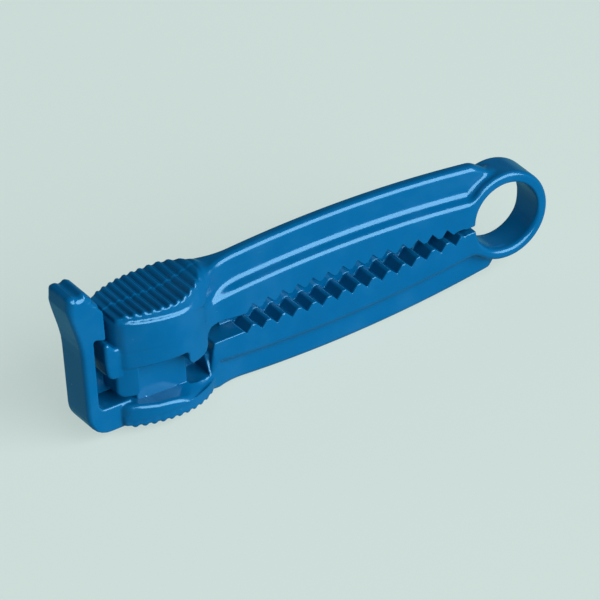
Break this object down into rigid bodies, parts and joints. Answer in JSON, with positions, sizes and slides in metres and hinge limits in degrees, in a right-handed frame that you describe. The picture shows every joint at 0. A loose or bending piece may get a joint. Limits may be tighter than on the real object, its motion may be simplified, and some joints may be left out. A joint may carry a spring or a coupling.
{
  "type": "tubing pinch clamp",
  "caption": "Moulded plastic tubing clamp: two toothed arms joined by a round spring loop, shut by a hooked latch over a tongue, with ridged finger grips.",
  "frame": {"origin": "middle of the part's length and width, on the lowest point of the lower rib", "axes": "+X along the arms from the latch to the spring loop, +Y across the arms, +Z from the lower arm to the upper arm"},
  "size_m": [0.0936, 0.014, 0.0299],
  "materials": {
    "blue_acetal": "moulded gloss, slightly uneven"
  },
  "bodies": {
    "lower": {"lower_arm": "blue_acetal", "spring_loop": "blue_acetal"},
    "upper": {"upper_arm": "blue_acetal"},
    "latch": {"latch_post": "blue_acetal"}
  },
  "joints": [
    {"name": "jaw_open", "type": "hinge", "parent": "lower", "child": "upper", "pos_m": [0.0386, 0, 0.0128], "axis": [0, 1, 0], "range_deg": [0, 16], "deforming": ["spring_loop"]},
    {"name": "latch_flex", "type": "hinge", "parent": "lower", "child": "latch", "pos_m": [-0.04345, 0, 0.008], "axis": [0, -1, 0], "range_deg": [0, 10], "stiffness_Nm_per_rad": 0.02, "deforming": ["latch_post"]}
  ]
}
